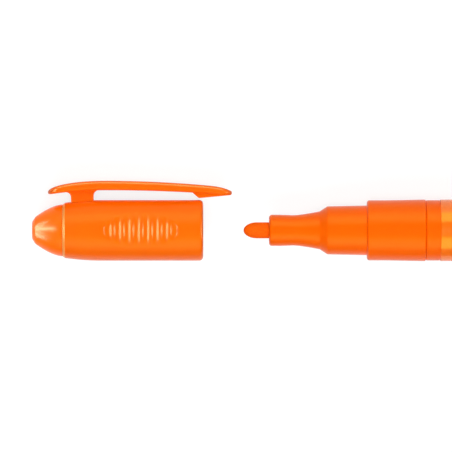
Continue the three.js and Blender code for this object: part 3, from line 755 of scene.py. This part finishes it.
# %% Retaining disc
NOTCHES = 4
NOTCH_HALF_WIDTH = 0.8
HUB_RADIUS = 2.05
disc_mesh = turned_mesh("disc", rounded([
    (28.5, 1.5, 0.1), (28.5, 3.65, 0.2), (30.9, 3.65), (30.9, CUP_MOUTH_RADIUS, 0.1),
    (31.9, CUP_MOUTH_RADIUS, 0.25), (31.9, 1.5, 0.2)]), VALVE_SIDES)
notch_tools = []
for i in range(NOTCHES):
    spin = Matrix.Rotation(2 * math.pi * i / NOTCHES, 4, "X")
    outline = rounded_box(
        HUB_RADIUS, 2 * CUP_RADIUS, -NOTCH_HALF_WIDTH, NOTCH_HALF_WIDTH, 0.3)
    notch_tools.append(lofted("notch", [
        [spin @ Vector((x, a, b)) for a, b in outline] for x in (28.0, 32.4)]))
retaining_disc = valve_piece(
    "retaining_disc_moulding", combined("retaining_disc", disc_mesh, "DIFFERENCE", *notch_tools),
    "marker", "retaining_disc")

# %% [markdown]
# The spring is a round wire along a helix, with a closed turn at each end so that it stands
# square. A curve object with a bevel would do too.

# %% Valve spring
WIRE_RADIUS = 0.3
COIL_RADIUS = 2.0
COIL_TURNS = 9
CLOSED_PITCH = 0.66
TURN_STEPS = 24
WIRE_SIDES = 10

spring_low, spring_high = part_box("valve_spring")
coil_start = (spring_low.x - axis_point.x) / MM + WIRE_RADIUS
coil_end = (spring_high.x - axis_point.x) / MM - WIRE_RADIUS
turn_numbers = (0, 1, COIL_TURNS - 1, COIL_TURNS)
turn_places = (coil_start, coil_start + CLOSED_PITCH, coil_end - CLOSED_PITCH, coil_end)
wire_middles = []
for i in range(COIL_TURNS * TURN_STEPS + 1):
    angle = 2 * math.pi * i / TURN_STEPS
    wire_middles.append(Vector((
        float(np.interp(i / TURN_STEPS, turn_numbers, turn_places)),
        COIL_RADIUS * math.cos(angle), COIL_RADIUS * math.sin(angle))))
wire_rings = []
for i, middle in enumerate(wire_middles):
    along = wire_middles[min(i + 1, len(wire_middles) - 1)] - wire_middles[max(i - 1, 0)]
    out = Vector((0, middle.y, middle.z)).normalized()
    across = along.normalized().cross(out)
    wire_rings.append([
        middle + WIRE_RADIUS * (out * math.cos(a) + across * math.sin(a))
        for a in (2 * math.pi * k / WIRE_SIDES for k in range(WIRE_SIDES))])
spring = finish_mesh(
    "valve_spring_wire", lofted("valve_spring_wire", wire_rings), to_row, "marker",
    60)
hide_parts("valve_spring")

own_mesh(spring)

# %% [markdown]
# The mixing ball stirs the paint when the marker is shaken. Blender's own sphere would do, but
# half a circle turned about its axis gives the same rings as the other pieces have.

# %% Mixing ball
BALL_RADIUS = 3.0
BALL_STEPS = 48
ball_low, ball_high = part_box("mixing_ball")
ball_section = [
    Vector((BALL_RADIUS * math.cos(t), BALL_RADIUS * math.sin(t)))
    for t in (math.pi * k / BALL_STEPS for k in range(BALL_STEPS + 1))]
ball = finish_mesh(
    "mixing_ball_sphere", turned_mesh("mixing_ball_sphere", ball_section, VALVE_SIDES),
    Matrix.Translation((ball_low + ball_high) / 2) @ Matrix.Scale(MM, 4), "ball")
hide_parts("mixing_ball")

# %% [markdown]
# ## Materials
#
# Colours are written as the sRGB values that a picture shows and turned to linear light by one
# function. One more function adds a node, sets it and links it, so that each recipe reads as a
# list. Pattern sizes are given in millimetres: a texture's scale is one over its size in metres.

# %% Material helpers
def linear(colour):
    """An sRGB hex colour as linear RGBA."""
    parts = [int(colour[i:i + 2], 16) / 255 for i in (1, 3, 5)]
    return (*[c / 12.92 if c <= 0.04045 else ((c + 0.055) / 1.055) ** 2.4 for c in parts], 1)


def add_node(tree, kind, inputs=None, **settings):
    """A node with its settings, and its inputs set to values or linked from sockets."""
    node = tree.nodes.new(kind)
    for key, value in settings.items():
        setattr(node, key, value)
    for key, value in (inputs or {}).items():
        if isinstance(value, bpy.types.NodeSocket):
            tree.links.new(value, node.inputs[key])
        else:
            node.inputs[key].default_value = value
    return node


def per_mm(size):
    """The texture scale at which one feature is this many millimetres across."""
    return 1000 / size


def new_material(name, shader_inputs):
    """A material with its surface shader, and the object's own coordinates for its patterns."""
    material = bpy.data.materials.new(name)
    material.use_nodes = True
    tree = material.node_tree
    shader = tree.nodes["Principled BSDF"]
    for key, value in shader_inputs.items():
        shader.inputs[key].default_value = value
    place = add_node(tree, "ShaderNodeTexCoord").outputs["Object"]
    print("material:", name)
    return material, tree, shader, place


# %% [markdown]
# Polypropylene is what caps and pen bodies are moulded in. Light goes a little way into it, so
# its shadows stay warm. The mould was polished, which leaves a soft gloss with a very fine
# unevenness, like the skin of an orange, and the colour drifts slightly where it flowed. The
# gloss is tinted too: at this strength a white one would turn the orange to salmon. The cap is
# another moulding than the body and a shade more yellow, and the crown's gloss is paler, so one
# function makes them all. Its three noises have the sizes of the real things: the melt's flow
# marks are about 9 mm long, the polish varies every 3 mm, and the skin every half millimetre.

# %% Moulded polypropylene
def polypropylene(name, dark, light, gloss="#ffe498"):
    """Glossy moulded polypropylene whose colour drifts between two shades."""
    material, tree, shader, place = new_material(name, {
        "IOR": 1.49,
        "Specular IOR Level": 0.25,
        "Specular Tint": linear(gloss),
        "Subsurface Weight": 0.1,
        "Subsurface Radius": (1.0, 0.25, 0.05),
        "Subsurface Scale": 0.0008,
    })
    flow = add_node(tree, "ShaderNodeTexNoise", {
        "Vector": place, "Scale": per_mm(9), "Detail": 2})
    tint = add_node(tree, "ShaderNodeMix", {
        "Factor": flow.outputs["Fac"], "A": linear(dark), "B": linear(light)},
        data_type="RGBA")
    polish = add_node(tree, "ShaderNodeTexNoise", {
        "Vector": place, "Scale": per_mm(3), "Detail": 3})
    sheen = add_node(tree, "ShaderNodeMapRange", {
        "Value": polish.outputs["Fac"], "To Min": 0.26, "To Max": 0.32})
    skin = add_node(tree, "ShaderNodeTexNoise", {
        "Vector": place, "Scale": per_mm(0.5), "Detail": 2})
    relief = add_node(tree, "ShaderNodeBump", {
        "Height": skin.outputs["Fac"], "Strength": 0.05, "Distance": 0.05 * MM})
    tree.links.new(tint.outputs["Result"], shader.inputs["Base Color"])
    tree.links.new(sheen.outputs["Result"], shader.inputs["Roughness"])
    tree.links.new(relief.outputs["Normal"], shader.inputs["Normal"])
    return material


body_polypropylene = polypropylene("moulded_polypropylene_body", "#ff6100", "#ff6700")
cap_polypropylene = polypropylene("moulded_polypropylene_cap", "#ff6700", "#ff6d00")
crown_polypropylene = polypropylene(
    "moulded_polypropylene_crown", "#ff6700", "#ff6d00", gloss="#ffe6aa")
# A paler orange for the ring at the shell's end: a painted highlight, not a colour of the
# plastic.
painted_rim_highlight = polypropylene("rim_highlight_painted_polypropylene", "#ff9a48", "#ffa452")

# %% [markdown]
# The sleeve on the barrel is a coated film, more yellow than the plastic under it. Its coating
# reflects more than bare plastic, which makes its two pale bands the brightest on the marker.
# Shrinking leaves it with soft ripples about 5 mm apart, which the eye sees only as a slight
# waver in those bands.

# %% Coated film
coated_film, tree, shader, place = new_material("coated_film", {
    "IOR": 1.5, "Specular IOR Level": 1.0, "Specular Tint": linear("#ffecb4"),
})
drift = add_node(tree, "ShaderNodeTexNoise", {"Vector": place, "Scale": per_mm(14), "Detail": 1})
ink = add_node(tree, "ShaderNodeMix", {
    "Factor": drift.outputs["Fac"], "A": linear("#ff6e00"), "B": linear("#ff7400")},
    data_type="RGBA")
wrinkle = add_node(tree, "ShaderNodeTexNoise", {
    "Vector": place, "Scale": per_mm(5), "Detail": 1})
ripple = add_node(tree, "ShaderNodeBump", {
    "Height": wrinkle.outputs["Fac"], "Strength": 0.06, "Distance": 0.2 * MM})
gloss = add_node(tree, "ShaderNodeMapRange", {
    "Value": wrinkle.outputs["Fac"], "To Min": 0.16, "To Max": 0.22})
tree.links.new(ink.outputs["Result"], shader.inputs["Base Color"])
tree.links.new(gloss.outputs["Result"], shader.inputs["Roughness"])
tree.links.new(ripple.outputs["Normal"], shader.inputs["Normal"])

# %% [markdown]
# The nib is polyester fibre bonded into a rod and soaked with paint. It has no gloss to speak
# of: light is lost between the fibres. They run along the rod, about 0.03 mm thick, which is
# finer than a pixel, so they are drawn six times as coarse.

# %% Paint-soaked fibre
soaked_fibre, tree, shader, place = new_material("soaked_fibre", {
    "IOR": 1.45, "Roughness": 0.85, "Specular IOR Level": 0.2,
})
stretched = add_node(tree, "ShaderNodeMapping", {"Vector": place, "Scale": (0.15, 1, 1)})
strands = add_node(tree, "ShaderNodeTexNoise", {
    "Vector": stretched.outputs["Vector"], "Scale": per_mm(0.18), "Detail": 3})
specks = add_node(tree, "ShaderNodeTexNoise", {
    "Vector": place, "Scale": per_mm(0.35), "Detail": 2})
speckle = add_node(tree, "ShaderNodeMapRange", {
    "Value": specks.outputs["Fac"], "From Min": 0.35, "From Max": 0.65})
paint = add_node(tree, "ShaderNodeMix", {
    "Factor": speckle.outputs["Result"], "A": linear("#fb5c00"), "B": linear("#ff6800")},
    data_type="RGBA")
nap = add_node(tree, "ShaderNodeBump", {
    "Height": strands.outputs["Fac"], "Strength": 0.35, "Distance": 0.1 * MM})
tree.links.new(paint.outputs["Result"], shader.inputs["Base Color"])
tree.links.new(nap.outputs["Normal"], shader.inputs["Normal"])

# %% [markdown]
# The other materials are on the pieces inside and share one recipe: a noise of the size of the
# real unevenness moves both colour and roughness, each within its own limits.
#
# The inner cap is soft polyethylene without pigment, milky and waxy, with clouds 4 mm across.
# The valve's stem, cup and disc are white acetal, harder and a little glossier. Both were
# moulded. The seal is a washer cut from nitrile sheet, dull black with a talc bloom in grains
# of under a millimetre. The spring is drawn stainless wire, whose drawing marks are finer than
# a pixel and are drawn 0.2 mm wide. The ball is ground and polished steel, the smoothest of
# them all.

# %% Materials inside
def clouded(name, size, detail, shades, roughness, **shader_inputs):
    """A material whose colour and roughness drift together with one noise."""
    material, tree, shader, place = new_material(name, shader_inputs)
    cloud = add_node(tree, "ShaderNodeTexNoise", {
        "Vector": place, "Scale": per_mm(size), "Detail": detail})
    tint = add_node(tree, "ShaderNodeMix", {
        "Factor": cloud.outputs["Fac"], "A": linear(shades[0]), "B": linear(shades[1])},
        data_type="RGBA")
    sheen = add_node(tree, "ShaderNodeMapRange", {
        "Value": cloud.outputs["Fac"], "To Min": roughness[0], "To Max": roughness[1]})
    tree.links.new(tint.outputs["Result"], shader.inputs["Base Color"])
    tree.links.new(sheen.outputs["Result"], shader.inputs["Roughness"])
    return material


milky_polyethylene = clouded(
    "milky_polyethylene", 4, 2, ("#e6e1d6", "#efebe2"), (0.42, 0.55), **{
        "IOR": 1.51, "Subsurface Weight": 0.4, "Subsurface Radius": (1.0, 0.9, 0.8),
        "Subsurface Scale": 0.002})
white_acetal = clouded("white_acetal", 1, 2, ("#f1f0ea", "#f8f7f3"), (0.35, 0.45), IOR=1.48)
cut_nitrile = clouded("cut_nitrile", 0.8, 3, ("#1b1b1b", "#2c2b2a"), (0.65, 0.85), IOR=1.52)
drawn_wire = clouded("drawn_wire", 0.2, 2, ("#b4b7bb", "#c9cbce"), (0.22, 0.36), Metallic=1.0)
polished_steel = clouded(
    "polished_steel", 1.5, 2, ("#c8cacd", "#d6d7d9"), (0.06, 0.12), Metallic=1.0)

# %% [markdown]
# Each piece takes one material. A Boolean result may carry an empty slot over from its tools,
# so the slots are cleared first.

# %% Give every piece its material
finishes = (
    (body_polypropylene, (front_section, barrel, tail)),
    (cap_polypropylene, (shell, clip)),
    (crown_polypropylene, (crown,)),
    (coated_film, (film,)),
    (soaked_fibre, (nib,)),
    (milky_polyethylene, (inner_cap,)),
    (white_acetal, (valve_cup, valve_stem, retaining_disc)),
    (cut_nitrile, (valve_seal,)),
    (drawn_wire, (spring,)),
    (polished_steel, (ball,)),
)
for material, dressed in finishes:
    for piece in dressed:
        piece.data.materials.clear()
        piece.data.materials.append(material)
print("materials on", sum(len(dressed) for _, dressed in finishes), "pieces")

# %% [markdown]
# The ring at the shell's end is drawn in a paler orange. This is a painted highlight that stands
# in for the light its rounded edge catches. That is the pale ring at the shell's end. Its faces
# are found by their place in the marker's frame and take a second material.

# %% Painted highlight on the ring at the shell's end
HIGHLIGHT_RING_INSIDE = 6.1
shell.data.materials.append(painted_rim_highlight)
to_cap = to_row_cap.inverted()
painted_highlight_faces = 0
for face in shell.data.polygons:
    middle = to_cap @ face.center
    if middle.x < SHELL_END + RING_WIDTH and math.hypot(middle.y, middle.z) > HIGHLIGHT_RING_INSIDE:
        # These faces take the painted highlight.
        face.material_index = 1
        painted_highlight_faces += 1
print("pale faces:", painted_highlight_faces)

# %% [markdown]
# ## Studio
#
# The photograph was taken from straight above the marker's side, on white. The camera looks
# along the marker frame's Z and its up is the clip's direction. A long lens keeps the barrel's
# edges parallel.
#
# The light is split in two, because one lamp can't give both the photograph's flat colour and
# its sharp highlights. Soft boxes give the plain light: a large one behind the camera does most
# of it, and one above and one below the picture fill the flanks. They are not mirrored.
# Reflectors are mirrored and give no light. Two long warm ones make the pale bands that run
# along the marker. Cooler ones at the cap's two ends, kept for the cap by light linking, light
# up the ribs' sides and the crown. They stay well above the horizon and aren't very wide, or
# the whole cap would mirror them when it is seen from its mouth. One small soft box lights the
# crown alone. Lamps that overlap stand at unlike distances: in one plane they would hide each
# other.

# %% Camera
PHOTO_WIDTH = 452
PIXELS_PER_MM = 4.11
CAMERA_DISTANCE = 1500.0
SENSOR = 36.0
VIEW_CENTRE = (-34.26, 1.05)
camera_data = bpy.data.cameras.new("camera")
camera_data.sensor_width = SENSOR
camera_data.lens = SENSOR * CAMERA_DISTANCE / (PHOTO_WIDTH / PIXELS_PER_MM)
camera = bpy.data.objects.new("camera", camera_data)
bpy.context.scene.collection.objects.link(camera)
turn = Matrix.Rotation(roll, 4, "X")
spot = to_row @ Vector((*VIEW_CENTRE, CAMERA_DISTANCE))
camera.matrix_world = Matrix.Translation(spot) @ turn
bpy.context.scene.camera = camera
print(f"lens {camera_data.lens:.1f} mm at {CAMERA_DISTANCE:.0f} mm")

# %% [markdown]
# An area lamp shines along its own -Z. Each is placed on the marker, turned by its tilt, and
# moved back by its distance, so it always faces what it lights. The powers were found by
# comparing the flat orange in the render with the photograph's.

# %% Soft boxes
def soft_box(name, tilt, high, wide, power, distance=600.0, about="X", rise=0.0):
    """An area lamp that faces the marker, tilted about one axis and raised. Sizes are in mm."""
    lamp = bpy.data.lights.new(name, "AREA")
    lamp.shape = "RECTANGLE"
    lamp.size = wide * MM
    lamp.size_y = high * MM
    lamp.energy = power
    box = bpy.data.objects.new(name, lamp)
    bpy.context.scene.collection.objects.link(box)
    lift = turn @ Matrix.Rotation(math.radians(tilt), 4, about)
    middle = to_row @ Vector((VIEW_CENTRE[0], 0, 0))
    box.matrix_world = (
        Matrix.Translation(middle) @ lift
        @ Matrix.Translation((0, rise * MM, distance * MM)))
    print(f"{name}: {wide} x {high} mm, {power} W at {distance:.0f} mm")
    return box


for box in (soft_box("front_soft_box", 4, 900, 900, power=11.0, distance=1700.0),
            soft_box("upper_soft_box", -52, 400, 700, power=2.3),
            soft_box("lower_soft_box", 57, 430, 700, power=2.4)):
    box.visible_glossy = False

# %% [markdown]
# A reflector is a lamp that diffuse light ignores, so it can be as bright as its highlight
# needs without changing the plain colour. Where the highlight belongs to one or two pieces,
# light linking keeps it off the others.

# %% Reflectors
# What the lamps at the cap's two ends have in common.
CAP_END = {"distance": 500.0, "about": "Y"}


def reflector(name, pieces, tilt, high, wide, **lamp):
    """A soft box that is seen in gloss only, and only by the pieces if there are any."""
    box = soft_box(name, tilt, high, wide, **lamp)
    box.visible_diffuse = False
    if pieces:
        box.light_linking.receiver_collection = bpy.data.collections.new(name + "_seen_by")
        for piece in pieces:
            box.light_linking.receiver_collection.objects.link(piece)
    return box


for box in (reflector("upper_reflector", (), -52, 400, 700, power=3.1, distance=580.0),
            reflector("lower_reflector", (), 48.5, 500, 700, power=3.9, distance=580.0)):
    box.data.color = linear("#ffe659")[:3]
for box in (reflector("clip_reflector", (clip,), -59, 220, 700, power=11.0),
            reflector("left_reflector", (shell, clip), -58, 760, 200, power=13.5, **CAP_END),
            reflector("right_reflector", (shell, clip), 64, 260, 160, power=5.0, **CAP_END),
            reflector("crown_strip", (crown,), -55, 24, 270, power=4.0, rise=55.0, **CAP_END),
            reflector("crown_glow", (crown,), -78, 640, 130, power=10.0, rise=15.0, **CAP_END)):
    box.data.color = linear("#e8f0ff")[:3]
crown_side = reflector("crown_side", (crown,), -87, 300, 60, power=1.6, **CAP_END)
crown_side.visible_diffuse = True
crown_side.visible_glossy = False

# %% [markdown]
# A weak white world fills what no lamp reaches, such as the inside of the cap. The Standard
# view transform shows colours as they are, where Blender's default would dull the orange.

# %% World
WORLD_STRENGTH = 0.18
world = bpy.data.worlds.new("studio")
bpy.context.scene.world = world
world.use_nodes = True
sky = world.node_tree.nodes["Background"]
sky.inputs["Color"].default_value = (1, 1, 1, 1)
sky.inputs["Strength"].default_value = WORLD_STRENGTH
bpy.context.scene.view_settings.view_transform = "Standard"
print("lamps:", len(bpy.data.lights))

# %% [markdown]
# The floor gives the white background. Its own colour is a dark grey, so that it throws little
# light up at the marker, and an emission that only camera, mirror and glass rays meet lifts it
# to white. Light Path tells those rays apart. The marker's shadow shows in the grey part.

# %% Floor
HALF_FLOOR = 1.5
FLOOR_GLOW = 0.82
floor_mesh = bpy.data.meshes.new("floor")
floor_mesh.from_pydata(
    [(x * HALF_FLOOR, y * HALF_FLOOR, 0) for x, y in ((-1, -1), (1, -1), (1, 1), (-1, 1))],
    [], [(0, 1, 2, 3)])
floor = bpy.data.objects.new("floor", floor_mesh)
bpy.context.scene.collection.objects.link(floor)
paper, tree, shader, place = new_material("white_paper", {
    "Base Color": (0.25, 0.25, 0.25, 1), "Roughness": 0.9, "Specular IOR Level": 0.1})
seen = add_node(tree, "ShaderNodeLightPath")
mirrored = add_node(tree, "ShaderNodeMath", {
    0: seen.outputs["Is Camera Ray"], 1: seen.outputs["Is Glossy Ray"]}, operation="ADD")
direct = add_node(tree, "ShaderNodeMath", {
    0: mirrored.outputs["Value"], 1: seen.outputs["Is Transmission Ray"]}, operation="ADD")
glow = add_node(tree, "ShaderNodeEmission", {"Color": (1, 1, 1, 1), "Strength": FLOOR_GLOW})
none = add_node(tree, "ShaderNodeEmission", {"Color": (0, 0, 0, 1), "Strength": 0.0})
lit = add_node(tree, "ShaderNodeMixShader", {
    0: direct.outputs["Value"], 1: none.outputs["Emission"], 2: glow.outputs["Emission"]})
total = add_node(tree, "ShaderNodeAddShader", {
    0: shader.outputs["BSDF"], 1: lit.outputs["Shader"]})
tree.links.new(total.outputs["Shader"], tree.nodes["Material Output"].inputs["Surface"])
floor_mesh.materials.append(paper)

# %% Update the scene
bpy.context.view_layer.update()
